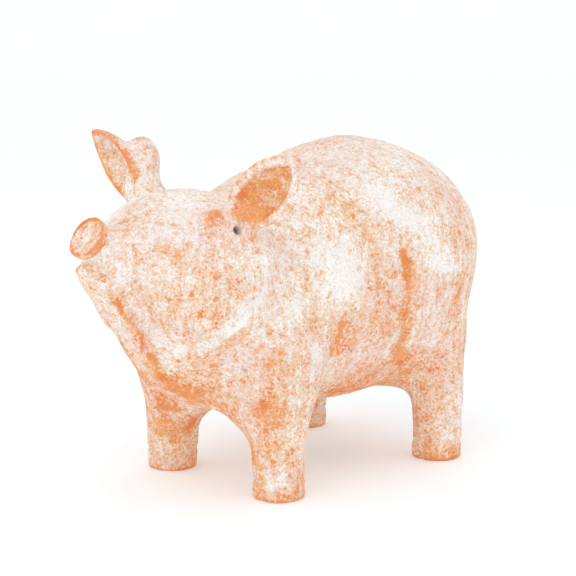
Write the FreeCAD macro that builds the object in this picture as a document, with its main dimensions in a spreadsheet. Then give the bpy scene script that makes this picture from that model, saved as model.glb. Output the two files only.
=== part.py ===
"""Piggy bank: a hollow, hand-built terracotta pig with a coin slot and a rubber stopper.

The pig faces -Y and its left side is +X. The origin is on the floor, under the middle of its box.
Sizes are millimetres and degrees. Stations along the pig are measured from the middle of its four feet.
"""
import FreeCAD, Part
import math
import os
import Sketcher

SIZES = {
    # whole pig
    "feet_to_origin": 22.15,
    "wall": 8.0,
    # barrel: a tilted egg, round at the rump and narrower at the chest
    "barrel_radius": 81.0,
    "barrel_station": 46.0,
    "barrel_height": 123.0,
    "barrel_tilt": 6.3,
    "chest_radius": 52.0,
    "chest_setback": 120.0,
    # head: a smaller egg that points forward and a little up
    "head_wall": 7.0,
    "head_radius": 52.0,
    "head_station": -96.0,
    "head_height": 134.0,
    "head_tilt": 14.0,
    "muzzle_radius": 19.0,
    "muzzle_setback": 46.0,
    "jowl_spread": 28.0,
    "jowl_height": 126.0,
    "jowl_width": 33.0,
    "jowl_radius": 42.0,
    "throat_width": 21.0,
    "chin_reach": 170.5,
    "chin_height": 143.0,
    "chin_drop": 5.0,
    "throat_reach": 129.5,
    "throat_foot": 80.0,
    "throat_back": 96.0,
    "eye_hole": 5.0,
    "eye_station": -100.0,
    "eye_height": 162.0,
    # snout
    "snout_diameter": 24.6,
    "snout_length": 30.0,
    "snout_station": -170.5,
    "snout_height": 161.0,
    "snout_tilt": 34.0,
    "snout_rim": 2.5,
    "snout_dish": 1.5,
    "snout_dish_radius": 32.0,
    # ears
    "ear_length": 31.0,
    "ear_half_width": 18.0,
    "ear_root_width": 13.0,
    "ear_depth": 15.0,
    "ear_wall": 6.0,
    "ear_floor": 5.0,
    "ear_x": 61.0,
    "ear_station": -98.0,
    "ear_height": 185.5,
    "ear_lift": 3.5,
    # legs
    "leg_radius": 15.0,
    "leg_top_radius": 19.0,
    "leg_top": 84.0,
    "trotter_height": 11.0,
    "trotter_groove": 1.2,
    "front_leg_x": 47.5,
    "rear_leg_x": 59.5,
    "feet_half_base": 67.3,
    "shoulder_x": 34.0,
    "shoulder_radius": 36.0,
    "shoulder_height": 90.0,
    "shoulder_rise": 56.0,
    "haunch_x": 37.0,
    "haunch_radius": 37.0,
    "haunch_length": 40.0,
    "haunch_height": 92.0,
    "haunch_rise": 52.0,
    # openings in the barrel
    "coin_slot_length": 38.0,
    "coin_slot_width": 5.0,
    "coin_slot_station": 79.0,
    "vent_hole": 12.0,
    "belly_hole": 32.0,
    "belly_station": 17.0,
    "seat_height": 44.5,
    "seat_diameter": 42.0,
    # stopper
    "stopper_clearance": 0.05,
    "flange_diameter": 40.0,
    "flange_thickness": 3.0,
    "neck_length": 13.0,
    # tail
    "tail_coil": 10.0,
    "tail_thickness": 4.5,
    "tail_turn": 290.0,
}

# the left ear: where its tip points, where its mouth faces, and its leaf's shape as shares of its size
EAR_TIP = (0.8, 0.09, 0.6)
EAR_MOUTH = (0.2, -0.96, -0.2)
EAR_WIDEST = 0.15
EAR_HEEL = 0.8
EAR_BACK = 0.55
EAR_BOTTOM = 0.3
EAR_OVERCUT = 1.0

FRONT_EDGE_TOLERANCE = 0.01

X_AXIS = FreeCAD.Vector(1, 0, 0)
Y_AXIS = FreeCAD.Vector(0, 1, 0)
Z_AXIS = FreeCAD.Vector(0, 0, 1)

doc = FreeCAD.newDocument("piggy_bank")


def make_sheet():
    sheet = doc.addObject("Spreadsheet::Sheet", "sizes")
    for row, (alias, value) in enumerate(SIZES.items(), start=1):
        sheet.set(f"A{row}", alias)
        sheet.set(f"B{row}", str(value))
        sheet.setAlias(f"B{row}", alias)
    doc.recompute()
    return sheet


sheet = make_sheet()


def size(alias):
    """The value of one cell of the sheet."""
    return float(sheet.get(alias))


def over_sheet(formula):
    """Point each word of a formula that is an alias at its cell in the sheet."""
    return " ".join(f"sizes.{word}" if word in SIZES else word for word in formula.split())


def bind(thing, **formulas):
    """Bind properties to formulas; a double underscore in a name stands for a full stop."""
    for name, formula in formulas.items():
        thing.setExpression(name.replace("__", "."), over_sheet(formula))


def place(thing, x="0", station="0", height="0"):
    """Bind a thing's position to the sheet."""
    bind(thing, Placement__Base__x=x, Placement__Base__z=height,
         Placement__Base__y=f"feet_to_origin + {station}")


def tilt(thing, angle):
    """Turn a thing about the X axis by an angle from the sheet."""
    thing.Placement.Rotation = FreeCAD.Rotation(X_AXIS, 1)
    bind(thing, Placement__Rotation__Angle=angle)


def new_body(label):
    body = doc.addObject("PartDesign::Body", label)
    body.Label = label
    return body


def new_sketch(body, name, role):
    """A sketch on one of the body's own origin planes."""
    sketch = body.newObject("Sketcher::SketchObject", name)
    plane = next(item for item in body.Origin.OriginFeatures if item.Role == role)
    sketch.AttachmentSupport = [(plane, "")]
    sketch.MapMode = "FlatFace"
    return sketch


def worth(formula):
    """What a sum or difference of aliases and numbers is worth now, to draw a sketch near its final size."""
    words = [str(SIZES.get(word, word)) for word in formula.split()]
    total, sign = 0.0, 1.0
    for word in words:
        if word in "+-":
            sign = 1.0 if word == "+" else -1.0
        else:
            total += sign * float(word)
    return total


def measure(sketch, formula, kind, *where):
    """Add a dimension to a sketch and bind it to a formula over the sheet."""
    index = sketch.addConstraint(Sketcher.Constraint(kind, *where, worth(formula)))
    sketch.setExpression(f"Constraints[{index}]", over_sheet(formula))


def add_circle(sketch, diameter):
    """A circle about the sketch's origin, with its diameter bound to the sheet."""
    sketch.addGeometry(Part.Circle(FreeCAD.Vector(), Z_AXIS, worth(diameter) / 2), False)
    sketch.addConstraint(Sketcher.Constraint("Coincident", 0, 3, -1, 1))
    measure(sketch, diameter, "Diameter", 0)


def add_egg(sketch, big_radius, small_radius, setback):
    """Half an egg on the sketch's X axis: a big arc, a long flank arc and a small arc, all tangent."""
    big, small, back = worth(big_radius), worth(small_radius), worth(setback)
    flank = (back ** 2 + big ** 2 - small ** 2) / (2 * (big - small))
    join = math.atan2(flank - big, back)
    quarter = math.pi / 2
    flank_arc = Part.Circle(FreeCAD.Vector(0, big - flank, 0), Z_AXIS, flank)
    big_arc = Part.Circle(FreeCAD.Vector(), Z_AXIS, big)
    small_arc = Part.Circle(FreeCAD.Vector(-back, 0, 0), Z_AXIS, small)
    sketch.addGeometry(Part.ArcOfCircle(big_arc, 0, quarter), False)
    sketch.addGeometry(Part.ArcOfCircle(flank_arc, quarter, math.pi - join), False)
    sketch.addGeometry(Part.ArcOfCircle(small_arc, math.pi - join, math.pi), False)
    rear, front = FreeCAD.Vector(big, 0, 0), FreeCAD.Vector(-back - small, 0, 0)
    sketch.addGeometry(Part.LineSegment(front, rear), False)
    for constraint in (
        Sketcher.Constraint("Coincident", 0, 3, -1, 1),
        Sketcher.Constraint("PointOnObject", 0, 1, -1),
        Sketcher.Constraint("PointOnObject", 0, 2, -2),
        Sketcher.Constraint("PointOnObject", 2, 3, -1),
        Sketcher.Constraint("PointOnObject", 2, 2, -1),
        Sketcher.Constraint("Tangent", 0, 2, 1, 1),
        Sketcher.Constraint("Tangent", 1, 2, 2, 1),
        Sketcher.Constraint("Coincident", 2, 2, 3, 1),
        Sketcher.Constraint("Coincident", 3, 2, 0, 1),
    ):
        sketch.addConstraint(constraint)
    measure(sketch, big_radius, "Radius", 0)
    measure(sketch, small_radius, "Radius", 2)
    measure(sketch, setback, "DistanceX", 2, 3, 0, 3)


def turn_egg(label, big_radius, small_radius, setback):
    """A body with one egg, turned about its long axis."""
    body = new_body(label)
    sketch = new_sketch(body, label + "_outline", "YZ_Plane")
    add_egg(sketch, big_radius, small_radius, setback)
    egg = body.newObject("PartDesign::Revolution", label + "_turned")
    egg.Profile = sketch
    egg.ReferenceAxis = (sketch, ["H_Axis"])
    egg.Angle = 360
    sketch.Visibility = False
    return body


def add_primitive(kind, label, **formulas):
    thing = doc.addObject("Part::" + kind, label)
    thing.Label = label
    bind(thing, **formulas)
    return thing


def fuse(label, *pieces):
    thing = doc.addObject("Part::MultiFuse", label)
    thing.Label = label
    thing.Shapes = list(pieces)
    return thing


def cut(label, base, tool):
    thing = doc.addObject("Part::Cut", label)
    thing.Label = label
    thing.Base = base
    thing.Tool = tool
    return thing


def make_barrel_form():
    """The barrel's outer form, as a solid."""
    form = turn_egg("barrel_form", "barrel_radius", "chest_radius", "chest_setback")
    place(form, station="barrel_station", height="barrel_height")
    tilt(form, "barrel_tilt")
    return form


def make_barrel_cavity():
    form = turn_egg("barrel_cavity", "barrel_radius - wall", "chest_radius - wall", "chest_setback")
    place(form, station="barrel_station", height="barrel_height")
    tilt(form, "barrel_tilt")
    return form


def make_body_shell(form):
    """The hollow barrel: coin slot over the rump, stopper hole with a flat seat, vent into the head."""
    slot = add_primitive("Box", "coin_slot", Length="coin_slot_width", Width="coin_slot_length",
                         Height="barrel_radius")
    place(slot, "0 - coin_slot_width / 2", "coin_slot_station - coin_slot_length / 2", "barrel_height")
    hole = add_primitive("Cylinder", "belly_hole", Radius="belly_hole / 2", Height="barrel_radius")
    place(hole, station="belly_station")
    seat = add_primitive("Cylinder", "belly_seat", Radius="seat_diameter / 2", Height="seat_height")
    place(seat, station="belly_station")
    vent = add_primitive("Cylinder", "neck_vent", Radius="vent_hole / 2", Height="chest_setback")
    vent.Placement.Rotation = FreeCAD.Rotation(X_AXIS, 90)
    place(vent, station="barrel_station - chest_setback / 2", height="barrel_height - wall * 2")
    return cut("body_shell", form, fuse("barrel_hollows", make_barrel_cavity(), slot, hole, seat, vent))


def make_jowls():
    jowls = []
    for side, sign in (("left", "1"), ("right", "-1")):
        jowl = add_primitive("Ellipsoid", "jowl_" + side, Radius1="jowl_radius", Radius2="jowl_width",
                             Radius3="jowl_radius")
        place(jowl, f"jowl_spread * {sign}", "head_station", "jowl_height")
        jowls.append(jowl)
    return jowls


def make_throat():
    """The flat band of clay from the chin down to the chest, a plate that fills the space behind it."""
    body = new_body("throat_plate")
    outline = new_sketch(body, "throat_outline", "YZ_Plane")
    corners = (
        ("chin_reach - chin_drop", "chin_height + chin_drop"),
        ("chin_reach", "chin_height"),
        ("chin_reach", "chin_height - chin_drop"),
        ("throat_reach", "throat_foot"),
        ("throat_back", "throat_foot"),
        ("throat_back", "chin_height"),
    )
    points = [FreeCAD.Vector(-worth(reach), worth(height), 0) for reach, height in corners]
    for here, point in enumerate(points):
        outline.addGeometry(Part.LineSegment(point, points[(here + 1) % len(points)]), False)
    for here in range(len(points)):
        outline.addConstraint(Sketcher.Constraint("Coincident", here, 2, (here + 1) % len(points), 1))
    for here, (reach, height) in enumerate(corners):
        measure(outline, reach, "DistanceX", here, 1, -1, 1)
        measure(outline, height, "DistanceY", -1, 1, here, 1)
    plate = body.newObject("PartDesign::Pad", "throat_pad")
    plate.Profile = outline
    plate.Midplane = True
    bind(plate, Length="throat_width")
    place(body)
    return body


def make_head_form():
    """The head's outer form, as a solid: an egg with two jowls and the throat band."""
    egg = turn_egg("head_egg", "head_radius", "muzzle_radius", "muzzle_setback")
    place(egg, station="head_station", height="head_height")
    tilt(egg, "0 - head_tilt")
    return fuse("head_form", egg, *make_jowls(), make_throat())


def make_head_shell(form, barrel):
    """The hollow head, open at the neck, with an eye hole pierced through each side."""
    cavity = turn_egg("head_cavity", "head_radius - head_wall", "muzzle_radius - head_wall", "muzzle_setback")
    place(cavity, station="head_station", height="head_height")
    tilt(cavity, "0 - head_tilt")
    eyes = add_primitive("Cylinder", "eye_holes", Radius="eye_hole / 2", Height="head_radius * 4")
    eyes.Placement.Rotation = FreeCAD.Rotation(Y_AXIS, 90)
    place(eyes, "0 - head_radius * 2", "eye_station", "eye_height")
    return cut("head_shell", form, fuse("head_hollows", cavity, eyes, barrel))


def make_snout(head):
    """A short disc with a softened rim and a shallow dish, pushed on the end of the muzzle."""
    body = new_body("snout_disc")
    outline = new_sketch(body, "snout_outline", "XY_Plane")
    add_circle(outline, "snout_diameter")
    disc = body.newObject("PartDesign::Pad", "snout_pad")
    disc.Profile = outline
    bind(disc, Length="snout_length")
    disc.Reversed = True
    doc.recompute()
    rim = body.newObject("PartDesign::Fillet", "snout_rim")
    front = [f"Edge{number}" for number, edge in enumerate(disc.Shape.Edges, start=1)
             if abs(edge.CenterOfMass.z) < FRONT_EDGE_TOLERANCE and edge.Closed]
    rim.Base = (disc, front)
    bind(rim, Radius="snout_rim")
    place(body, station="snout_station", height="snout_height")
    body.Placement.Rotation = FreeCAD.Rotation(X_AXIS, 90 - size("snout_tilt"))
    dish = add_primitive("Sphere", "snout_dish", Radius="snout_dish_radius")
    reach = "( snout_dish_radius - snout_dish )"
    place(dish, station=f"snout_station - {reach} * cos( snout_tilt * 1 deg )",
          height=f"snout_height + {reach} * sin( snout_tilt * 1 deg )")
    return cut("snout", body, fuse("snout_trim", head, dish))


def add_leaf(sketch, scale):
    """A leaf outline with its tip on +X: two side arcs that meet in a point, and a root arc."""
    length, half, root = size("ear_length"), size("ear_half_width"), size("ear_root_width")
    tip = FreeCAD.Vector(length * scale, 0, 0)
    side = FreeCAD.Vector(length * EAR_WIDEST * scale, half * scale, 0)
    heel = FreeCAD.Vector(-length * EAR_HEEL * scale, root * scale, 0)
    end = FreeCAD.Vector(-length * scale, 0, 0)
    flip = FreeCAD.Matrix(1, 0, 0, 0, 0, -1)
    for points in ((tip, side, heel), (heel, end, flip * heel), (flip * heel, flip * side, tip)):
        sketch.addGeometry(Part.Arc(*points), False)


def make_ear(side, sign, trim):
    """A cupped leaf: a boat shape hollowed from the front, its tip up and outward."""
    body = new_body("ear_leaf_" + side)
    inside = 1 - size("ear_wall") / size("ear_half_width")
    back = -size("ear_depth")
    lofts = (("AdditiveLoft", 1, EAR_BACK, 0, back),
             ("SubtractiveLoft", inside, EAR_BOTTOM, EAR_OVERCUT, back + size("ear_floor")))
    for kind, mouth, floor, top, bottom in lofts:
        sections = []
        for number, (scale, level) in enumerate(((mouth, top), (floor, bottom))):
            section = new_sketch(body, f"{kind}_{side}_{number}", "XY_Plane")
            section.AttachmentOffset = FreeCAD.Placement(FreeCAD.Vector(0, 0, level), FreeCAD.Rotation())
            add_leaf(section, scale)
            sections.append(section)
        loft = body.newObject("PartDesign::" + kind, f"{kind}_{side}")
        loft.Profile = sections[0]
        loft.Sections = sections[1:]
        loft.Ruled = True
        doc.recompute()
    flip = FreeCAD.Matrix(sign)
    along, mouth = flip * FreeCAD.Vector(*EAR_TIP), flip * FreeCAD.Vector(*EAR_MOUTH)
    body.Placement.Rotation = FreeCAD.Rotation(along, mouth.cross(along), mouth, "XZY")
    lift = "+ ear_lift" if sign < 0 else "- ear_lift"
    place(body, f"ear_x * {sign}", "ear_station", f"ear_height {lift}")
    return cut("ear_" + side, body, trim)


def make_leg(end, side, sign, station, trim):
    """A post with a groove round its trotter, and the flat pad of clay that blends it into the barrel."""
    name = f"leg_{end}_{side}"
    across = f"{end}_leg_x * {sign}"
    post = add_primitive("Cone", name + "_post", Radius1="leg_radius", Radius2="leg_top_radius",
                         Height="leg_top")
    place(post, across, station)
    if end == "front":
        pad = add_primitive("Ellipsoid", name + "_pad", Radius1="shoulder_rise", Radius2="shoulder_radius",
                            Radius3="shoulder_radius")
        place(pad, f"shoulder_x * {sign}", station, "shoulder_height")
    else:
        pad = add_primitive("Ellipsoid", name + "_pad", Radius1="haunch_rise", Radius2="haunch_radius",
                            Radius3="haunch_length")
        place(pad, f"haunch_x * {sign}", station, "haunch_height")
    groove = add_primitive("Torus", name + "_groove", Radius1="leg_radius + trotter_groove",
                           Radius2="trotter_groove * 2")
    place(groove, across, station, "trotter_height")
    return cut(name, fuse(name + "_form", post, pad), fuse(name + "_trim", trim, groove))


def make_tail(barrel):
    """A coil of clay pressed flat on the rump."""
    coil = add_primitive("Torus", "tail_coil", Radius1="tail_coil", Radius2="tail_thickness",
                         Angle3="tail_turn")
    coil.Placement.Rotation = FreeCAD.Rotation(X_AXIS, 90 + size("barrel_tilt"))
    place(coil, station="barrel_station + barrel_radius * cos( barrel_tilt * 1 deg )",
          height="barrel_height + barrel_radius * sin( barrel_tilt * 1 deg )")
    return cut("tail", coil, barrel)


def make_stopper():
    """A rubber plug: a flange that lies in the seat and a neck that fills the hole."""
    body = new_body("stopper")
    for name, diameter, length, up in (
        ("flange", "flange_diameter", "flange_thickness", False),
        ("neck", "belly_hole - stopper_clearance - stopper_clearance", "neck_length", True),
    ):
        outline = new_sketch(body, name + "_outline", "XY_Plane")
        add_circle(outline, diameter)
        pad = body.newObject("PartDesign::Pad", name)
        pad.Profile = outline
        bind(pad, Length=length)
        pad.Reversed = not up
        doc.recompute()
    place(body, station="belly_station", height="seat_height")
    return body


def make_pig():
    barrel = make_barrel_form()
    head = make_head_form()
    both = fuse("barrel_and_head", barrel, head)
    parts = [make_body_shell(barrel), make_head_shell(head, barrel), make_snout(head)]
    for side, sign in (("left", 1), ("right", -1)):
        parts.append(make_ear(side, sign, both))
        parts.append(make_leg("front", side, sign, "0 - feet_half_base", both))
        parts.append(make_leg("rear", side, sign, "feet_half_base", both))
    parts.append(make_tail(barrel))
    parts.append(make_stopper())
    return parts


def check(parts):
    """Stop before anything is written if an object failed or a part is not one valid solid."""
    for thing in doc.Objects:
        if "Invalid" in thing.State or "Error" in thing.State:
            raise RuntimeError(f"{thing.Label}: {thing.State}")
    for part in parts:
        shape = part.Shape
        if shape.isNull() or not shape.isValid() or len(shape.Solids) != 1:
            raise RuntimeError(f"{part.Label}: not one valid solid, {len(shape.Solids)} solids")


parts = make_pig()
doc.recompute()
whole = FreeCAD.BoundBox()
for part in parts:
    box = part.Shape.optimalBoundingBox()
    whole.add(box)
    print(f"{part.Label}: volume {part.Shape.Volume / 1000:.1f} cm3, {len(part.Shape.Solids)} solids,"
          f" y {box.YMin:.1f} to {box.YMax:.1f}")
print(f"whole: {whole}")
check(parts)
os.makedirs("parts", exist_ok=True)
for part in parts:
    part.Shape.exportStep(f"parts/{part.Label}.step")
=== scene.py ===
"""Looks of the hand-built terracotta piggy bank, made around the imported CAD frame.

The pig is sculpted as a distance field on a grid: every clay piece has its own field, the fields are
blended as a potter smears one piece of clay into the next, and each piece is then meshed from its share
of the blend. Sculpting sizes are millimetres in the pig's own stations: y is measured from the middle
of the four feet.
"""
import math
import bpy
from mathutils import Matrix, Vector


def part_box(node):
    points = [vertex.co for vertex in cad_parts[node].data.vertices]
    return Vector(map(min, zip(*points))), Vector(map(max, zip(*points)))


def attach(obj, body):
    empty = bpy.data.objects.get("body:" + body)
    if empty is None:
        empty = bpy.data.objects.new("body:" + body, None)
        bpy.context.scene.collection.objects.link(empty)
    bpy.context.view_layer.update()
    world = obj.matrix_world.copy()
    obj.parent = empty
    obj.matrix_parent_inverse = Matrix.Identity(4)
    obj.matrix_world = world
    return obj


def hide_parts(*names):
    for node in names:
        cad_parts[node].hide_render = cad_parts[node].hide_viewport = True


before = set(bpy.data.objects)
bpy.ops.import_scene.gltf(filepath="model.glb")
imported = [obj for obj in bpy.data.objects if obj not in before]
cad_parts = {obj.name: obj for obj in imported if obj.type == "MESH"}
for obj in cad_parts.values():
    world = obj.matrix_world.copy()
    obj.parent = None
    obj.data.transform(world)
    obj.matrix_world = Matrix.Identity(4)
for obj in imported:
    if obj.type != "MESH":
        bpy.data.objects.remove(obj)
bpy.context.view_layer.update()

from concurrent.futures import ThreadPoolExecutor

import bmesh
import bpy
import numpy as np
import openvdb
from mathutils import Vector

MM = 0.001
# The stopper's axis ties the stations to the frame: it lies at this station.
BELLY_STATION = 17.0
FEET_MIDDLE = sum(corner[1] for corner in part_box("stopper")) / 2 / MM - BELLY_STATION

WALL = 8.0
HEAD_WALL = 7.0
SLOT_LENGTH, SLOT_WIDTH, SLOT_STATION, SLOT_BOTTOM = 38.0, 5.0, 79.0, 130
HOLE_RADIUS, HOLE_TOP = 16.4, 90
SEAT_RADIUS, SEAT_HEIGHT = 21.0, 44.5
EYE_RADIUS, VENT_RADIUS = 2.6, 6
FRONT_FOOT = (47.5, -67.3)
REAR_FOOT = (59.5, 67.3)
SIDES = {"left": 1.0, "right": -1.0}
SNOUT_FACE = np.array((0, -0.829, 0.559), np.float32)
SNOUT_CENTRE = np.array((0, -170.5, 161), np.float32)


# ---------------------------------------------------------------- distance fields

def vec(*numbers):
    return np.array(numbers, np.float32)


def length(v):
    return np.sqrt((v * v).sum(-1))


def blend(a, b, width):
    """The union of two fields, with a fillet about as wide as the given width."""
    share = np.clip(0.5 + 0.5 * (b - a) / width, 0, 1)
    return b + (a - b) * share - width * share * (1 - share)


def carve(a, b, width):
    """Field a with field b cut out of it, with a softened edge."""
    return -blend(-a, b, width)


def both(a, b, width):
    """Where two fields overlap, with a softened edge."""
    return -blend(-a, -b, width)


def ball(p, centre, radii):
    q = p - vec(*centre)
    r = vec(*radii)
    near = length(q / r)
    return near * (near - 1) / np.maximum(length(q / (r * r)), 1e-6)


def cone(p, start, end, start_radius, end_radius):
    """A round-ended cone from one point to another."""
    a, along = vec(*start), vec(*end) - vec(*start)
    t = np.clip(((p - a) @ along) / (along @ along), 0, 1)
    return length(p - a - t[..., None] * along) - (start_radius + (end_radius - start_radius) * t)


def tube(p, points, radius):
    """A round tube along a path of straight runs."""
    field = cone(p, points[0], points[1], radius, radius)
    for start, end in zip(points[1:], points[2:]):
        field = np.minimum(field, cone(p, start, end, radius, radius))
    return field


def plane(p, point, normal):
    n = vec(*normal)
    return (p - vec(*point)) @ (n / np.linalg.norm(n))


def post(p, x, y, radius):
    """An endless upright cylinder."""
    return np.hypot(p[..., 0] - x, p[..., 1] - y) - radius


def mirrored(p, sign):
    q = p.copy()
    q[..., 0] *= sign
    return q


def folded(p):
    """Both sides of the pig at once."""
    q = p.copy()
    q[..., 0] = np.abs(q[..., 0])
    return q


def egg(p, centre, big, small, setback, tilt):
    """A round big end, a long flank arc and a round small end, turned about a tilted axis."""
    slope = math.radians(tilt)
    x, y, z = (p[..., axis] - centre[axis] for axis in range(3))
    ahead = -(y * math.cos(slope) + z * math.sin(slope))
    out = np.hypot(x, z * math.cos(slope) - y * math.sin(slope))
    flank = (setback ** 2 + big ** 2 - small ** 2) / (2 * (big - small))
    drop = flank - big
    side = np.hypot(ahead, out + drop) - flank
    front = np.hypot(ahead - setback, out) - small
    rear = np.hypot(ahead, out) - big
    past = np.arctan2(ahead, out + drop) > math.atan2(setback, drop)
    return np.where(ahead < 0, rear, np.where(past, front, side))


def wobble(p, size, seed):
    """Smooth value noise between -1 and 1 with lumps of the given size.

    The large numbers only scramble the place of a cell into a random value.
    """
    q = p / size + seed * 17.3
    cell = np.floor(q)
    t = q - cell
    t = t * t * (3 - 2 * t)
    cell = cell.astype(np.int64)
    total = 0
    for corner in range(8):
        step = np.array([corner >> 2 & 1, corner >> 1 & 1, corner & 1])
        key = ((cell + step) * np.array([73856093, 19349663, 83492791])).sum(-1) + seed * 7919
        key = (key ^ (key >> 13)) * 1274126177 & 0x7FFFFFFF
        key = (key ^ (key >> 16)) & 0xFFFF
        weight = np.where(step == 1, t, 1 - t).prod(-1)
        total = total + weight * (key / 32767.5 - 1)
    return total.astype(np.float32)


# ---------------------------------------------------------------- the clay pieces

def barrel(p):
    """The belly pot: a tilted egg with a full, high rump."""
    field = egg(p, (0, 45, 122.5), 81, 52, 120, 6.3)
    return blend(field, ball(p, (0, 51, 137.5), (79, 75, 60.5)), 16)


def chest(p):
    return ball(p, (0, -80, 106), (48, 48, 54))


def head(p):
    """Skull, cheeks, muzzle and the flat band from the chin down the throat."""
    field = ball(p, (0, -98, 141), (53, 50, 40.5))
    field = blend(field, ball(folded(p), (28, -96, 126), (33, 42, 42)), 14)
    field = blend(field, cone(p, (0, -112, 140), (0, -150, 146), 32, 17), 18)
    field = blend(field, ball(p, (0, -154, 136), (15, 14, 12)), 10)
    side = np.abs(p[..., 0]) - (14.5 - 0.036 * p[..., 2])
    band = both(side, plane(p, (0, -160.4, 123.8), (0, -0.816, -0.577)), 3)
    band = both(band, plane(p, (0, -130, 70), (0, -0.3, -1)), 6)
    band = both(band, p[..., 2] - 145, 6)
    band = both(band, p[..., 1] + 100, 4)
    return blend(field, band, 6)


def snout(p):
    """A short disc, dished in front."""
    face, centre = SNOUT_FACE, SNOUT_CENTRE
    neck = cone(p, centre - 28 * face, centre - 2 * face, 11.0, 11.0)
    rim = cone(p, centre - 12 * face, centre + 3 * face, 12.0, 13.0)
    rim = both(rim, plane(p, centre - 5 * face, -face), 1)
    field = both(blend(neck, rim, 2), plane(p, centre, face), 1.2)
    dish = length(p - centre - 24 * face) - 26.2
    return carve(field, dish, 1.2)


EAR_TIP, EAR_MOUTH = (0.80, 0.09, 0.60), (0.20, -0.96, -0.20)
EAR_SHAPES = {
    "left": {"centre": (60, -99, 182), "depth": 19},
    "right": {"centre": (58, -97, 190), "depth": 21},
}
EAR_WALL, EAR_SOFTNESS, EAR_BASE_HEIGHT = 5.2, 2.5, 185


def ear_rise(side):
    """How far an ear's centre stands above the height that its root is drawn for."""
    return EAR_SHAPES[side]["centre"][2] - EAR_BASE_HEIGHT


def ear_leaf(p, side, grow=0.0):
    """The leaf's boat shape, and how far a point lies in front of its rim."""
    shape = EAR_SHAPES[side]
    mouth = np.array(EAR_MOUTH) / np.linalg.norm(EAR_MOUTH)
    tip = np.array(EAR_TIP) - mouth * (np.array(EAR_TIP) @ mouth)
    tip /= np.linalg.norm(tip)
    axes = np.stack([tip, np.cross(mouth, tip), mouth], 1).astype(np.float32)
    local = (mirrored(p, SIDES[side]) - vec(*shape["centre"])) @ axes
    deep = shape["depth"] + grow
    upper = ball(local, (4.8, -29.7, 0), (44.2 + grow, 44.2 + grow, deep))
    lower = ball(local, (4.2, 22.6, 0), (41 + grow, 41 + grow, deep))
    return both(upper, lower, 1.5), local[..., 2]


def ear(p, side):
    """A cupped leaf with a thick rim, its root smeared on the side of the head."""
    q = mirrored(p, SIDES[side])
    leaf, ahead = ear_leaf(p, side)
    # The right ear has a hump on its back, and the left ear a lobe of clay in front of its root.
    if side == "right":
        leaf = blend(leaf, ball(q, (48, -88, 194), (11, 11, 16)), 8)
    field = both(leaf, ahead, EAR_SOFTNESS)
    field = carve(field, ear_leaf(p, side, -EAR_WALL)[0], EAR_SOFTNESS)
    rise = ear_rise(side)
    field = blend(field, cone(q, (42, -90, 168 + rise), (50, -90, 178 + rise), 12, 9), 6)
    if side == "left":
        field = blend(field, cone(q, (40, -100, 167), (37, -115, 167), 7, 6), 5)
    return field


def front_leg(p, side):
    q = mirrored(p, SIDES[side])
    x, y = FRONT_FOOT
    shoulder = ball(q, (34, -64, 90), (35, 36, 56))
    return blend(cone(q, (x, y, -20), (x - 1.5, y + 1, 80), 14.5, 18), shoulder, 12)


def rear_leg(p, side):
    q = mirrored(p, SIDES[side])
    x, y = REAR_FOOT
    haunch = ball(q, (36, 64, 92), (35, 39, 50))
    return blend(cone(q, (x, y, -20), (x - 1.5, y, 80), 15, 17.5), haunch, 12)


def tail(p):
    """A thin coil of clay that starts on the rump and curls on itself."""
    station, height, thickness = 130.3, 134, 4.2
    points = []
    for step in range(19):
        turn = math.radians(-70 + 22 * step)
        radius = 12 - 0.38 * step
        sunk = 0.2 * abs(step - 9)
        points.append((radius * math.cos(turn), station - sunk, height + radius * math.sin(turn)))
    return tube(p, points, thickness)


def clay_pieces(p):
    """The field of each clay piece, in the order in which one covers the next."""
    pot = barrel(p)
    pieces = {"body_shell": blend(pot, chest(p), 20), "head_shell": head(p), "snout": snout(p)}
    for side in SIDES:
        pieces["ear_" + side] = ear(p, side)
        pieces["leg_front_" + side] = front_leg(p, side)
        pieces["leg_rear_" + side] = rear_leg(p, side)
    pieces["tail"] = tail(p)
    return pieces, pot


# How wide each piece is smeared into what it sits on.
SMEAR = {"head_shell": 4.0, "snout": 3, "ear": 4, "leg_front": 9, "leg_rear": 10, "tail": 2.5}


def smeared(pieces):
    """The pig's outer skin: all pieces blended together."""
    field = pieces["body_shell"]
    for name, piece in pieces.items():
        width = next((SMEAR[key] for key in SMEAR if name.startswith(key)), None)
        if width:
            field = blend(field, piece, width)
    return field


def leg_zone(p, side, end):
    """The space of one leg: wider than the post, and up over the lower half of its pad."""
    q = mirrored(p, SIDES[side])
    if end == "front":
        x, y, pad = *FRONT_FOOT, ball(q, (40, -64, 76), (43, 33, 38))
    else:
        x, y, pad = *REAR_FOOT, ball(q, (44, 64, 78), (47, 36, 36))
    return blend(cone(q, (x, y, -20), (x - 3, y, 60), 21, 24), pad, 10)


def ear_zone(p, side):
    """The space of one ear: all that stands out past a plane through its root."""
    q = mirrored(p, SIDES[side])
    root = 54.5 + 0.3 * ear_rise(side) - (q - vec(0, -98, 142)) @ vec(0.82, 0, 0.57)
    return np.maximum(root, ball(q, (62, -96, 190), (45, 32, 45)))


def borders(p, pieces):
    """For each piece, a field that is below 0 where the piece owns the clay. They meet without gaps."""
    body = pieces["body_shell"]
    head = np.maximum(pieces["head_shell"], -1 - body)
    core = np.minimum(body, pieces["head_shell"])
    owned = {name: np.maximum(pieces[name], -1 - core) - core for name in ("snout", "tail")}
    for side in SIDES:
        owned["ear_" + side] = ear_zone(p, side)
        for end in ("front", "rear"):
            owned[f"leg_{end}_{side}"] = np.maximum(leg_zone(p, side, end), -0.5 * WALL - core)
    taken = -np.min(list(owned.values()), 0)
    owned["head_shell"] = np.maximum(head - body, taken)
    owned["body_shell"] = np.maximum(body - head, taken)
    return owned


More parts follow.
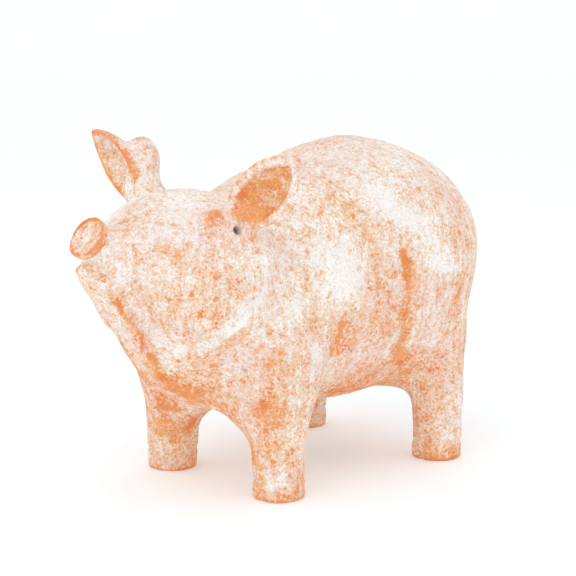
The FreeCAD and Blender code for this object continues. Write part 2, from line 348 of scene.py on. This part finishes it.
# Lines that the potter pressed into the skin: half width, depth, then the path, for both sides.
# Most paths were marked in the photo, cast onto a trial model by a helper script, and then nudged.
CREASES = (
    # the mouth, and its corner under the cheek
    (1.8, 1.5, (0, -176, 146), (8, -171, 146), (14, -162, 144)),
    (1.5, 0.7, (15, -159, 141), (19, -151, 134.5), (22, -144, 128)),
    # the top of the muzzle, behind the snout
    (1.3, 0.8, (6.6, -155.4, 166.6), (14.4, -141.8, 166.0)),
    # the jowl, from under the ear round the cheek to the throat
    (2.3, 2.6, (56, -93, 152), (61, -90, 142), (62, -95, 129), (59, -107, 117), (51, -117, 105),
     (38, -124, 97), (24, -127, 93)),
    # the fold where belly and haunch meet
    (2.2, 1.2, (49, 34, 62), (53, 46, 56), (55, 52, 52)),
    # behind the shoulder, and in front of the haunch
    (4.0, 1.3, (60, -45, 147), (67, -53, 125), (70, -56, 102), (67, -60, 74)),
    (5.0, 1.2, (52, 5, 180), (59, 7, 173), (76, 10, 146), (80, 14, 112), (72, 16, 84)),
)
RING_HEIGHT, RING_RADIUS, RING_DEPTH, RING_WIDTH = 11.5, 15.8, 1.2, 1.5
CLEFT_HEIGHT, CLEFT_DEPTH, CLEFT_WIDTH = 8, 2.0, 1.6


def creases(p):
    """How deep the skin is pressed in at some points: drawn lines, a ring on each trotter and its cleft."""
    q = folded(p)
    deep = np.zeros(len(p), np.float32)
    for half_width, depth, *path in CREASES:
        deep = np.maximum(deep, depth * np.exp(-(np.maximum(tube(q, path, 0.0), 0) / half_width) ** 2))
    low = q[:, 2] < 2.2 * RING_HEIGHT
    feet = q[low]
    press = np.zeros(len(feet), np.float32)
    for x, y in (FRONT_FOOT, REAR_FOOT):
        around = np.arctan2(feet[:, 1] - y, feet[:, 0] - x)
        ring = (feet[:, 2] - RING_HEIGHT - 0.8 * np.sin(2 * around + x)) / RING_WIDTH
        beside = np.hypot(feet[:, 0] - x, feet[:, 1] - y) < 1.6 * RING_RADIUS
        uneven = 0.75 + 0.45 * np.sin(3 * around + y)
        press = np.maximum(press, np.where(beside, RING_DEPTH * uneven * np.exp(-ring * ring), 0))
        toe = y - RING_RADIUS
        cleft = np.maximum(cone(feet, (x, toe, -3), (x, toe, CLEFT_HEIGHT), 1.0, 0.2), 0)
        press = np.maximum(press, CLEFT_DEPTH * np.exp(-(cleft / CLEFT_WIDTH) ** 2))
    deep[low] = np.maximum(deep[low], press)
    return deep


def hollows(p, pot, pieces):
    """The space inside: the belly with its openings, and the head with its two pierced eyes."""
    q = folded(p)
    belly = pot + WALL
    across = np.abs(p[..., 0]) - SLOT_WIDTH / 2
    along = np.abs(p[..., 1] - SLOT_STATION) - SLOT_LENGTH / 2
    slot = np.maximum(np.maximum(across, along), SLOT_BOTTOM - p[..., 2])
    hole = np.maximum(post(p, 0, BELLY_STATION, HOLE_RADIUS), p[..., 2] - HOLE_TOP)
    seat = np.maximum(post(p, 0, BELLY_STATION, SEAT_RADIUS), p[..., 2] - SEAT_HEIGHT)
    skull = np.maximum(pieces["head_shell"] + HEAD_WALL, 4 - pieces["body_shell"])
    eye = cone(q, (30, -98, 159), (62, -104, 164.5), EYE_RADIUS, EYE_RADIUS)
    vent = cone(p, (0, -128, 112), (0, -60, 107), VENT_RADIUS, VENT_RADIUS)
    field = belly
    for cut in (slot, hole, seat, skull, eye, vent):
        field = np.minimum(field, cut)
    return field


# ---------------------------------------------------------------- the whole pig

# Dents and creases only change the field this near the skin.
SKIN_REACH = 5
SOLE_SOFTNESS, RIM_SOFTNESS = 2, 1.6


def dents(p):
    """The waviness that hands leave in clay."""
    return 0.8 * wobble(p, 27, 1) + 0.35 * wobble(p, 11, 2) + 0.12 * wobble(p, 4, 3)


def pig(p):
    """The finished clay at some points, and the border field of each piece there."""
    pieces, pot = clay_pieces(p)
    skin = smeared(pieces)
    near = np.abs(skin) < SKIN_REACH
    skin[near] += dents(p[near]) + creases(p[near])
    skin = both(skin, -p[..., 2], SOLE_SOFTNESS)
    solid = both(skin, -hollows(p, pot, pieces), RIM_SOFTNESS)
    return solid, borders(p, pieces)


def piece_field(p, name):
    """One piece's clay: the solid, cut back where another piece owns it. Also gives the two parts."""
    solid, owned = pig(p)
    return np.maximum(solid, owned[name]), solid, owned[name]


POOL = ThreadPoolExecutor(4)


def in_chunks(work, points, size=60000):
    """Runs work on slices of the points, a few at a time, and joins what comes back."""
    parts = list(POOL.map(work, [points[i:i + size] for i in range(0, len(points), size)]))
    return [np.concatenate(column) for column in zip(*parts)]


# The grid of each piece: two corners of its box, and the step between points.
BOXES = {
    "body_shell": ((-88, -142, 34), (88, 142, 206), 1.85),
    "head_shell": ((-66, -188, 60), (66, -40, 198), 1.03),
    "snout": ((-24, -192, 134), (24, -128, 186), 0.6),
    "ear_left": ((24, -128, 150), (98, -70, 222), 0.6),
    "ear_right": ((-98, -128, 150), (-24, -70, 222), 0.6),
    "leg_front_left": ((0, -110, -5), (84, -20, 156), 1.0),
    "leg_front_right": ((-84, -110, -5), (0, -20, 156), 1.0),
    "leg_rear_left": ((0, 20, -5), (92, 112, 150), 1.0),
    "leg_rear_right": ((-92, 20, -5), (0, 112, 150), 1.0),
    "tail": ((-26, 106, 108), (26, 142, 160), 0.5),
}


def mesh_piece(name):
    low, high, step = BOXES[name]
    axes = [np.arange(a, b, step, dtype=np.float32) for a, b in zip(low, high)]
    points = np.stack(np.meshgrid(*axes, indexing="ij"), -1).reshape(-1, 3)
    field = in_chunks(lambda p: piece_field(p, name)[:1], points)[0].reshape([len(a) for a in axes])
    grid = openvdb.FloatGrid(background=10.0)
    grid.copyFromArray(np.ascontiguousarray(field.astype(np.float32)))
    corners, quads = grid.convertToQuads(isovalue=0.0)
    corners = (corners * step + np.array(low)).astype(np.float32)
    return corners, quads, step


def gradient(function, points, reach=0.35):
    """The slope of each field that the function gives, by central differences."""
    slopes = []
    for axis in range(3):
        offset = np.zeros(3, np.float32)
        offset[axis] = reach
        ahead = in_chunks(function, points + offset)
        behind = in_chunks(function, points - offset)
        slopes.append([(a - b) / (2 * reach) for a, b in zip(ahead, behind)])
    return [np.stack([slope[i] for slope in slopes], -1) for i in range(len(slopes[0]))]


def settle(name, corners, step):
    """Moves vertices onto the true surface. The ones beside a seam go onto the seam line itself."""
    def parts(p):
        return piece_field(p, name)[1:]

    least_slope, least_lean = 0.3, 0.15
    seam_reach, longest_move = 0.75 * step, 0.9 * step
    for _ in range(2):
        solid, border = in_chunks(parts, corners)
        solid_slope, border_slope = gradient(parts, corners)
        solid_size = np.maximum(length(solid_slope), least_slope)
        border_size = np.maximum(length(border_slope), least_slope)
        solid_unit, border_unit = solid_slope / solid_size[:, None], border_slope / border_size[:, None]
        solid, border = solid / solid_size, border / border_size
        seam = (np.abs(solid) < seam_reach) & (np.abs(border) < seam_reach)
        on_skin = solid >= border
        move = np.where(on_skin[:, None], -solid[:, None] * solid_unit, -border[:, None] * border_unit)
        cross = (solid_unit * border_unit).sum(-1)
        lean = np.maximum(1 - cross * cross, least_lean)
        a = (-solid + cross * border) / lean
        b = (-border + cross * solid) / lean
        both_move = a[:, None] * solid_unit + b[:, None] * border_unit
        move[seam] = both_move[seam]
        far = np.maximum(length(move) / longest_move, 1)
        corners = corners + move / far[:, None]
    return corners.astype(np.float32)


# Colouring of the wash, with painted highlights among the chalk strokes: reach and strength of each brush
# stroke, then its path. Both flanks share them.
# Many paths were marked in the photo, cast onto a trial model by a helper script, and then nudged.
CHALK_AND_HIGHLIGHTS = (
    # the jowl
    (4.2, 1.0, (58, -92, 153), (62, -89, 141),
     (63, -94, 129), (60, -106, 117), (52, -116, 105)),
    (3.6, 0.7, (52, -116, 105), (38, -124, 96), (22, -127, 92)),  # the jowl's run under the cheek
    (13, 0.8, (66, -35, 143), (67, -32, 128)),  # a painted highlight: the white patch behind the shoulder
    (8, 1.0, (60, 10, 173), (69, 14, 165), (77, 30, 155)),  # a painted highlight along the top of the haunch
    (6, 0.8, (83, 34, 148), (83, 42, 128)),  # a painted highlight on the haunch's side
    (12, 0.4, (22, -114, 178), (28, -128, 168)),  # the forehead
    (8, 0.4, (66, -70, 118), (64, -76, 104)),  # the shoulder
    (20, 0.25, (30, 60, 196), (30, 20, 192)),  # the back
    (4, 0.4, (10, -166, 144), (14, -160, 144)),  # the mouth
    (4, 0.7, (60, -106, 158), (56, -112, 156)),  # under the eye
    (2.5, 0.9, (52, -83, 12), (60, -78, 12)),  # the ring of the front trotter
    (4, 0.7, (73, 60, 15), (76, 68, 15)),  # the ring of the rear trotter
    (5, 0.5, (86, -90, 187), (74, -92, 172)),  # the outer rim of the ear
    (9, 0.6, (70, 76, 52), (72, 74, 30)),  # the outside of the rear leg
)
BARE = (
    (6, 1.0, (43, -113, 170), (43, -118, 166)),  # the lobe in front of the ear
    (4, 0.7, (50, -105, 168), (60, -100, 166), (72, -95, 168)),  # the root of the ear
    (3.4, 1.1, (53, 34, 61), (56, 42, 58)),  # the fold of belly and haunch
    (3, 0.8, (11, -160, 124), (11, -140, 97), (12, -124, 72)),  # the edge of the throat
    (10, 0.75, (13, -124, 70), (24, -104, 54), (30, -88, 46)),  # from the chest down to the front leg
    (10, 0.9, (34, -66, 52), (36, -74, 30)),  # the inside of the front leg
    (9, 0.55, (46, 56, 50), (45, 60, 20)),  # the inside of the rear leg
    (4.5, 0.9, (66, -34, 120), (67, -36, 82)),  # behind the shoulder
    (14, 0.35, (72, -12, 124), (74, 0, 96)),  # a wide streak on the flank
    (3.4, 0.9, (69, -24, 112), (68, -26, 80)),  # a thin streak on the flank
    (4.4, 0.95, (77, 11, 138), (78, 15, 106), (70, 17, 82), (62, 22, 68)),  # in front of the haunch
    (3, 0.5, (58, 6, 172), (72, 8, 150)),  # the upper end of that line
    (6, 0.6, (56, -16, 167), (66, -18, 158), (70, -10, 154)),  # a patch high on the flank
    (4, 0.6, (57, -98, 118), (56, -103, 110), (46, -112, 101)),  # inside the jowl
    (18, 0.5, (48, 0, 56), (44, 30, 54)),  # the belly
    (16, 0.3, (48, -120, 132), (52, -112, 122)),  # the cheek
    (5, 0.6, (64, 28, 76), (60, 30, 64)),  # the groin
    (5, 0.45, (32, -138, 153), (40, -133, 146)),  # the side of the muzzle
    (8, 0.5, (60, -84, 80), (56, -84, 40)),  # the front of the front leg
    (1.4, 0.9, (61, -90, 143), (62, -95, 130), (59, -107, 118)),  # the bottom of the jowl
    (5, 0.4, (82, 58, 120), (82, 62, 90)),  # the side of the haunch
)
OCHRE = (
    (9, 1.0, (66, -95, 190), (76, -94, 194)),  # the inside of the ear
    (7, 0.8, (30, -139, 153), (38, -134, 147)),  # the side of the muzzle
    (10, 0.6, (67, -40, 118), (67, -42, 96)),  # behind the shoulder
    (16, 0.5, (80, 24, 118), (80, 40, 96)),  # the haunch
    (10, 0.6, (47, -82, 34), (46, -83, 16)),  # the front of the front leg
    (16, 0.4, (40, 62, 192), (58, 50, 182)),  # over the rump
    (10, 0.5, (72, 59, 30), (73, 62, 16)),  # the outside of the rear leg
)


BRUSH_STRAY = 3.2


def strokes(p, table):
    """How strongly the strokes of a table cover some points, with stray and fading as a brush gives."""
    stray = np.stack([wobble(p, 9, seed) + 0.6 * wobble(p, 4, seed + 3) for seed in (21, 22, 23)], -1)
    q = folded(p) + BRUSH_STRAY * stray
    fade = np.clip(0.85 + 0.6 * wobble(p, 12, 31), 0.2, 1.2)
    strength = np.zeros(len(p), np.float32)
    for reach, amount, *path in table:
        away = np.maximum(tube(q, path, 0.0), 0)
        strength = np.maximum(strength, amount * fade * np.exp(-(away / reach) ** 2))
    return strength


def swell(p, reach):
    """How the clay stands out around a point: above 0 on an edge, below 0 in a fold."""
    total = 0
    for axis in range(3):
        for sign in (1, -1):
            offset = np.zeros(3, np.float32)
            offset[axis] = sign * reach
            total = total + in_chunks(lambda q: pig(q)[:1], p + offset)[0]
    return total / (6 * reach)


EDGE_REACH, EDGE_GAIN, WEAR_GAIN, WEAR_START = 2.2, 2.4, 1.4, 0.25
FOLD_REACH, FOLD_GAIN = 7.0, 2.2
# How bare each ear is left, inside and on its rim.
EAR_BARE = {"left": (0.95, 0.15), "right": (0.12, 0.95)}
SNOUT_RING, SNOUT_RING_WIDTH, SNOUT_FACE_RADIUS, SNOUT_BEHIND = 11.5, 1.8, 11, -6


def paint_ear(paint, corners, side):
    """Rubs the wash off the cup or the rim, with chalk flecks and ochre in the cup."""
    ahead = ear_leaf(corners, side)[1]
    ragged = 0.4 * wobble(corners, 5, 51)
    inside = np.clip(-ear_leaf(corners, side, -0.6 * EAR_WALL)[0] / 3.0 + ragged, 0, 1)
    inside *= ahead > -EAR_SHAPES[side]["depth"] + 0.8 * EAR_WALL
    rim = np.clip(1 - np.abs(ahead) / 3, 0, 1) * (1 - inside)
    bare_inside, bare_rim = EAR_BARE[side]
    bare = np.maximum(bare_inside * inside, bare_rim * rim)
    flecks = 0.5 * inside * (wobble(corners, 7, 52) > 0.35)
    paint[:, 0] = np.maximum(paint[:, 0] * (1 - inside), bare)
    paint[:, 1] = np.maximum(paint[:, 1] * (1 - inside), flecks)
    paint[:, 2] = np.maximum(paint[:, 2], inside * np.clip(wobble(corners, 6, 53), 0, 1))


def paint_snout(paint, corners):
    """Rubs the wash off the ring of the snout, and a little off its face."""
    offset = corners - SNOUT_CENTRE
    ahead = offset @ SNOUT_FACE
    off_axis = length(offset - ahead[:, None] * SNOUT_FACE)
    in_front = ahead > SNOUT_BEHIND
    uneven = 0.7 + 0.7 * wobble(corners, 8, 41)
    rim = np.exp(-((off_axis - SNOUT_RING) / SNOUT_RING_WIDTH) ** 2) * in_front * uneven
    face = 0.3 * (off_axis < SNOUT_FACE_RADIUS) * in_front
    paint[:, 0] = np.maximum(paint[:, 0], np.maximum(rim, face))


def painted(name, corners):
    """The wash at each vertex: red tells how bare the clay is, green how chalky, painted highlights
    included, blue how ochre.
    """
    edge = np.clip(swell(corners, EDGE_REACH) * EDGE_GAIN, 0, 1)
    fold = -swell(corners, FOLD_REACH)
    paint = np.ones((len(corners), 4), np.float32)
    worn = edge * WEAR_GAIN - WEAR_START
    paint[:, 0] = np.clip(np.maximum(worn, strokes(corners, BARE)), 0, 1)
    # Green: chalk in the folds and strokes, plus the painted highlights on the flank and haunch.
    paint[:, 1] = np.clip(np.maximum(fold * FOLD_GAIN, strokes(corners, CHALK_AND_HIGHLIGHTS)), 0, 1)
    paint[:, 2] = strokes(corners, OCHRE)
    if name.startswith("ear"):
        paint_ear(paint, corners, name.split("_")[1])
    if name == "snout":
        paint_snout(paint, corners)
    return paint


def build_piece(name, material):
    corners, quads, step = mesh_piece(name)
    corners = settle(name, corners, step)
    mesh = bpy.data.meshes.new(name + "_clay")
    mesh.from_pydata((corners * MM + np.array([0, FEET_MIDDLE * MM, 0])).tolist(), [], quads.tolist())
    mesh.polygons.foreach_set("use_smooth", np.ones(len(quads), bool))
    mesh.update()

    def parts(p):
        return piece_field(p, name)[1:]

    solid_slope, border_slope = gradient(parts, corners)
    solid, border = in_chunks(parts, corners[quads].mean(1))
    on_skin = (solid >= border)[:, None, None]
    corner_normals = np.where(on_skin, solid_slope[quads], border_slope[quads])
    corner_normals /= np.maximum(length(corner_normals), 1e-6)[..., None]
    mesh.normals_split_custom_set(corner_normals.reshape(-1, 3))

    layer = mesh.color_attributes.new("paint", "FLOAT_COLOR", "POINT")
    layer.data.foreach_set("color", painted(name, corners).ravel())
    piece = bpy.data.objects.new(name + "_clay", mesh)
    bpy.context.scene.collection.objects.link(piece)
    mesh.materials.append(material)
    return piece


# ---------------------------------------------------------------- materials

def linear(*srgb):
    """Shader values of a colour given as 0-255 display numbers."""
    scaled = [c / 255 for c in srgb]
    return [c / 12.92 if c <= 0.04045 else ((c + 0.055) / 1.055) ** 2.4 for c in scaled] + [1.0]


class Nodes:
    """A small pen for writing node trees."""

    def __init__(self, name):
        self.material = bpy.data.materials.new(name)
        self.material.use_nodes = True
        self.tree = self.material.node_tree
        self.shader = self.tree.nodes["Principled BSDF"]
        self.where = self.add("ShaderNodeTexCoord").outputs["Object"]

    def add(self, kind, **settings):
        made = self.tree.nodes.new(kind)
        for key, value in settings.items():
            setattr(made, key, value)
        return made

    def put(self, socket, value):
        if isinstance(value, bpy.types.NodeSocket):
            self.tree.links.new(value, socket)
        else:
            socket.default_value = value

    def calc(self, operation, a, b=0.0, clamp=False):
        made = self.add("ShaderNodeMath", operation=operation, use_clamp=clamp)
        self.put(made.inputs[0], a)
        self.put(made.inputs[1], b)
        return made.outputs[0]

    def stretch(self, x, y, z):
        made = self.add("ShaderNodeMapping")
        self.put(made.inputs["Vector"], self.where)
        made.inputs["Scale"].default_value = (x, y, z)
        return made.outputs[0]

    def noise(self, size_mm, detail=2.0, roughness=0.5, where=None, seed=0.0, distortion=0.0):
        made = self.add("ShaderNodeTexNoise", noise_dimensions="4D")
        self.put(made.inputs["Vector"], where or self.where)
        self.put(made.inputs["W"], seed)
        self.put(made.inputs["Scale"], 1000.0 / size_mm)
        self.put(made.inputs["Detail"], detail)
        self.put(made.inputs["Roughness"], roughness)
        self.put(made.inputs["Distortion"], distortion)
        return made.outputs["Fac"]

    def step(self, value, low, high, out_low=0.0, out_high=1.0):
        made = self.add("ShaderNodeMapRange", interpolation_type="SMOOTHSTEP")
        for key, number in (("Value", value), ("From Min", low), ("From Max", high),
                            ("To Min", out_low), ("To Max", out_high)):
            self.put(made.inputs[key], number)
        return made.outputs["Result"]

    def bump(self, height, distance, strength):
        made = self.add("ShaderNodeBump")
        for key, value in (("Height", height), ("Distance", distance), ("Strength", strength)):
            self.put(made.inputs[key], value)
        self.put(self.shader.inputs["Normal"], made.outputs[0])

    def mix(self, share, a, b, how="MIX"):
        made = self.add("ShaderNodeMix", data_type="RGBA", blend_type=how)
        colour_a, colour_b = (s for s in made.inputs if s.type == "RGBA")
        self.put(made.inputs[0], share)
        self.put(colour_a, a)
        self.put(colour_b, b)
        return next(s for s in made.outputs if s.type == "RGBA")

    def grey(self, value):
        made = self.add("ShaderNodeCombineColor")
        for socket in made.inputs:
            self.put(socket, value)
        return made.outputs[0]

    def sum(self, *terms):
        total = terms[0]
        for term in terms[1:]:
            total = self.calc("ADD", total, term)
        return total

    def scaled(self, value, gain, offset=0.0):
        made = self.add("ShaderNodeMath", operation="MULTIPLY_ADD")
        self.put(made.inputs[0], value)
        self.put(made.inputs[1], gain)
        self.put(made.inputs[2], offset)
        return made.outputs[0]


# Display colours of the clay under the wash, and of the wash where it is thin and where it is thick.
CLAY_DEEP, CLAY_PALE = (240, 143, 76), (243, 168, 114)
CLAY_OCHRE, CLAY_BURNT = (241, 185, 104), (196, 98, 54)
VEIL_WARM, VEIL_ROSY = (243, 208, 176), (242, 205, 182)
CRUST_WARM, CRUST_ROSY = (253, 248, 242), (249, 238, 232)


def make_clay():
    """Orange clay under a dry-brushed pinkish-white wash that is rubbed off the edges, and thickened in
    places for painted highlights.
    """
    pen = Nodes("washed_terracotta")
    paint = pen.add("ShaderNodeVertexColor", layer_name="paint")
    channels = pen.add("ShaderNodeSeparateColor")
    pen.put(channels.inputs[0], paint.outputs["Color"])
    bare, chalk_and_highlight, ochre = channels.outputs

    clouds = pen.noise(30, 2, 0.55, seed=1.0)
    clumps = pen.noise(7, 3, 0.6, seed=2.0)
    streaks = pen.noise(4, 2, 0.55, where=pen.stretch(1, 1, 0.16), seed=3.0)
    speckle = pen.noise(2.0, 3, 0.7, seed=4.0, distortion=0.8)
    threads = pen.noise(4.2, 3, 0.6, seed=11.0, distortion=1.2)
    threads = pen.calc("ABSOLUTE", pen.scaled(threads, 2.0, -1.0))
    grain = pen.noise(0.8, 2, 0.6, seed=5.0)
    height = pen.add("ShaderNodeSeparateXYZ")
    pen.put(height.inputs[0], pen.where)
    upper = pen.sum(pen.step(height.outputs["Z"], 0.05, 0.19, -0.06, 0.15),
                    pen.step(height.outputs["Z"], 0.003, 0.014, -0.16, 0.0))

    # The chalk channel thickens the wash; it includes the painted highlights on the flank and haunch.
    broad = pen.sum(pen.scaled(clouds, 0.75, 0.18), pen.scaled(clumps, 0.9, -0.45),
                    pen.scaled(streaks, 1.0, -0.5), pen.scaled(chalk_and_highlight, 0.75), pen.scaled(bare, -0.85), upper)
    cover = pen.sum(broad, pen.scaled(speckle, 2.0, -1.0), pen.scaled(threads, -1.5, 0.26))
    thin = pen.step(cover, 0.10, 0.62)
    thick = pen.step(cover, 0.52, 1.10)

    warmth = pen.step(pen.noise(16, 2, 0.5, seed=6.0), 0.38, 0.62)
    warm = pen.mix(warmth, linear(*CLAY_DEEP), linear(*CLAY_PALE))
    spread = pen.scaled(pen.noise(12, 3, 0.6, seed=7.0), 1.2, -0.6)
    patch = pen.step(pen.sum(pen.scaled(ochre, 0.8), spread), 0.12, 0.5)
    clay = pen.mix(pen.scaled(patch, 0.6), warm, linear(*CLAY_OCHRE))
    clay = pen.mix(pen.step(grain, 0.30, 0.52, 0.55, 0.0), clay, linear(*CLAY_BURNT))
    rosy = pen.step(pen.noise(38, 2, 0.5, seed=12.0), 0.35, 0.65)
    veil = pen.mix(rosy, linear(*VEIL_WARM), linear(*VEIL_ROSY))
    crust = pen.mix(rosy, linear(*CRUST_WARM), linear(*CRUST_ROSY))
    colour = pen.mix(thin, clay, veil)
    colour = pen.mix(thick, colour, crust)
    pores = pen.step(pen.noise(1.2, 3, 0.7, seed=13.0), 0.30, 0.62, 0.84, 1.05)
    colour = pen.mix(1.0, colour, pen.grey(pores), "MULTIPLY")
    pen.put(pen.shader.inputs["Base Color"], colour)
    pen.put(pen.shader.inputs["Roughness"], pen.scaled(thick, 0.12, 0.78))
    pen.shader.inputs["Specular IOR Level"].default_value = 0.25

    relief = pen.sum(pen.scaled(clumps, 0.5), pen.scaled(speckle, 0.3), pen.scaled(grain, 0.12),
                     pen.scaled(streaks, 0.2), pen.scaled(thick, 0.12))
    pen.bump(relief, 1.0 * MM, 0.5)
    return pen.material


def make_rubber():
    """Matt, slightly dusty soft rubber."""
    pen = Nodes("dusty_rubber")
    dust = pen.step(pen.noise(7, 4, 0.65, seed=8.0), 0.45, 0.75)
    fine = pen.noise(0.8, 2, 0.5, seed=9.0)
    colour = pen.mix(pen.scaled(dust, 0.35), linear(58, 50, 46), linear(150, 132, 118))
    pen.put(pen.shader.inputs["Base Color"], colour)
    pen.put(pen.shader.inputs["Roughness"], pen.scaled(dust, 0.25, 0.55))
    pen.bump(pen.sum(fine, dust), 0.2 * MM, 0.4)
    return pen.material


def make_paper():
    """The pale floor."""
    pen = Nodes("pale_floor")
    cloud = pen.noise(400, 2, 0.5, seed=10.0)
    colour = pen.mix(cloud, linear(243, 249, 253), linear(245, 251, 255))
    pen.put(pen.shader.inputs["Base Color"], colour)
    pen.put(pen.shader.inputs["Roughness"], pen.scaled(cloud, 0.1, 0.85))
    pen.shader.inputs["Emission Color"].default_value = linear(255, 255, 255)
    pen.shader.inputs["Emission Strength"].default_value = 0.17
    pen.shader.inputs["Specular IOR Level"].default_value = 0.1
    return pen.material


# ---------------------------------------------------------------- the stopper and the floor

RING_POINTS = 96


def turned(profile, centre=(0.0, 0.0)):
    """Rings of points round an upright axis, and the four-sided faces between one ring and the next."""
    corners, faces = [], []
    for radius, height in profile:
        for turn in range(RING_POINTS):
            angle = 2 * math.pi * turn / RING_POINTS
            x, y = centre[0] + radius * math.cos(angle), centre[1] + radius * math.sin(angle)
            corners.append((x, y, height))
    for row in range(len(profile) - 1):
        here, above = row * RING_POINTS, (row + 1) * RING_POINTS
        for turn in range(RING_POINTS):
            after = (turn + 1) % RING_POINTS
            faces.append((here + turn, here + after, above + after, above + turn))
    return corners, faces


def stopper_profile(flange, tall):
    """Millimetres from the axis and up from the bottom: from the underside to the hollow of the top."""
    lip, neck = 3.0, 15.9
    profile = [(9.0, 1.6), (11.6, 1.4), (13.0, 0.6), (14.2, 0.1), (15.0, 0.0),
               (flange - 1.4, 0.0), (flange - 0.5, 0.3), (flange - 0.1, 0.9), (flange, 1.5),
               (flange - 0.1, lip - 0.7), (flange - 0.5, lip - 0.2), (flange - 1.2, lip), (neck + 0.4, lip)]
    for ring in (3.6, 7.2):
        height = lip + ring
        profile += [(neck - 0.75, height - 1.5), (neck - 0.3, height - 0.8), (neck, height),
                    (neck - 0.3, height + 0.8)]
    profile += [(neck - 0.75, lip + 9.0), (neck - 0.8, tall - 1.8), (neck - 1.2, tall - 0.8),
                (neck - 1.9, tall - 0.2), (neck - 2.8, tall), (neck - 4.0, tall - 0.1),
                (neck - 4.6, tall - 0.7), (neck - 4.9, tall - 2.0), (neck - 5.1, tall - 7.0),
                (neck - 5.6, tall - 8.2), (neck - 6.8, tall - 8.6)]
    return profile


def build_stopper(material):
    """A turned rubber plug: a neck with two sealing rings, a flange, and a finger bar under it."""
    low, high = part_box("stopper")
    centre = ((low[0] + high[0]) / 2, (low[1] + high[1]) / 2)
    flange = (high[0] - low[0]) / 2 / MM
    bottom = low[2]
    outline = stopper_profile(flange, (high[2] - bottom) / MM)
    profile = [(radius * MM, bottom + height * MM) for radius, height in outline]
    corners, faces = turned(profile, centre)
    lower_end, upper_end = len(corners), len(corners) + 1
    corners += [(*centre, profile[0][1]), (*centre, profile[-1][1])]
    last = lower_end - RING_POINTS
    for turn in range(RING_POINTS):
        after = (turn + 1) % RING_POINTS
        faces.append((after, lower_end, turn))
        faces.append((upper_end, last + after, last + turn))
    mesh = bpy.data.meshes.new("stopper_rubber")
    mesh.from_pydata(corners, [], faces)
    piece = bpy.data.objects.new("stopper_rubber", mesh)
    bpy.context.scene.collection.objects.link(piece)

    work = bmesh.new()
    work.from_mesh(mesh)
    bmesh.ops.recalc_face_normals(work, faces=work.faces)
    bar = bmesh.ops.create_cube(work, size=1)["verts"]
    bmesh.ops.scale(work, vec=(19 * MM, 3.4 * MM, 1.8 * MM), verts=bar)
    bmesh.ops.translate(work, vec=(*centre, bottom + 1.1 * MM), verts=bar)
    bar_edges = list({edge for corner in bar for edge in corner.link_edges})
    bmesh.ops.bevel(work, geom=bar_edges, offset=0.7 * MM, segments=4, affect="EDGES", profile=0.5)
    work.to_mesh(mesh)
    work.free()
    mesh.polygons.foreach_set("use_smooth", np.ones(len(mesh.polygons), bool))
    mesh.materials.append(material)
    mesh.update()
    return piece


def build_floor():
    """A wide pale floor, in metres, that curves up at its far rim."""
    reach, curl = 9.0, 2.0
    rings = [(0.6, 0.0), (reach, 0.0)]
    rings += [(reach + curl * math.sin(a), curl - curl * math.cos(a)) for a in np.linspace(0.15, 1.45, 12)]
    corners, faces = turned(rings)
    faces = [face[::-1] for face in faces]
    middle = len(corners)
    corners.append((0.0, 0.0, 0.0))
    faces += [(middle, turn, (turn + 1) % RING_POINTS) for turn in range(RING_POINTS)]
    mesh = bpy.data.meshes.new("floor")
    mesh.from_pydata(corners, [], faces)
    mesh.polygons.foreach_set("use_smooth", np.ones(len(faces), bool))
    mesh.materials.append(make_paper())
    floor = bpy.data.objects.new("floor", mesh)
    bpy.context.scene.collection.objects.link(floor)


# ---------------------------------------------------------------- the scene

def add_lamp(name, place, aim, size, power):
    lamp = bpy.data.lights.new(name, "AREA")
    lamp.size, lamp.energy = size, power
    holder = bpy.data.objects.new(name, lamp)
    holder.location = place
    holder.rotation_euler = (Vector(aim) - Vector(place)).to_track_quat("-Z", "Y").to_euler()
    bpy.context.scene.collection.objects.link(holder)


def light_scene():
    """An even white surround and one soft lamp above the pig's front."""
    world = bpy.data.worlds.new("studio")
    bpy.context.scene.world = world
    world.use_nodes = True
    surround = world.node_tree.nodes["Background"]
    surround.inputs["Color"].default_value = (1.0, 1.0, 1.0, 1)
    surround.inputs["Strength"].default_value = 0.89
    add_lamp("key", place=(0.3, -0.9, 1.5), aim=(0, 0, 0.1), size=1.2, power=3.5)
    bpy.context.scene.view_settings.view_transform = "Standard"


def add_camera():
    """The camera stands a metre from the middle of the feet and looks a little above them.

    The distance was assumed, and a fit to the four feet in the photo gave the angles.
    """
    azimuth, elevation, distance = math.radians(43.47), math.radians(15.93), 1.0
    look_azimuth, look_elevation = math.radians(43.89), math.radians(9.62)
    place = Vector((math.sin(azimuth) * math.cos(elevation), -math.cos(azimuth) * math.cos(elevation),
                    math.sin(elevation))) * distance
    ahead = -Vector((math.sin(look_azimuth) * math.cos(look_elevation),
                     -math.cos(look_azimuth) * math.cos(look_elevation), math.sin(look_elevation)))
    lens = bpy.data.cameras.new("camera")
    lens.sensor_width, lens.lens = 36.0, 96.15
    holder = bpy.data.objects.new("camera", lens)
    holder.location = place + Vector((0, FEET_MIDDLE * MM, 0))
    holder.rotation_euler = ahead.to_track_quat("-Z", "Y").to_euler()
    bpy.context.scene.collection.objects.link(holder)
    bpy.context.scene.camera = holder


clay = make_clay()
for name in BOXES:
    piece = build_piece(name, clay)
    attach(piece, "pig")
    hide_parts(name)

stopper = build_stopper(make_rubber())
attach(stopper, "stopper")
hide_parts("stopper")

build_floor()
light_scene()
add_camera()
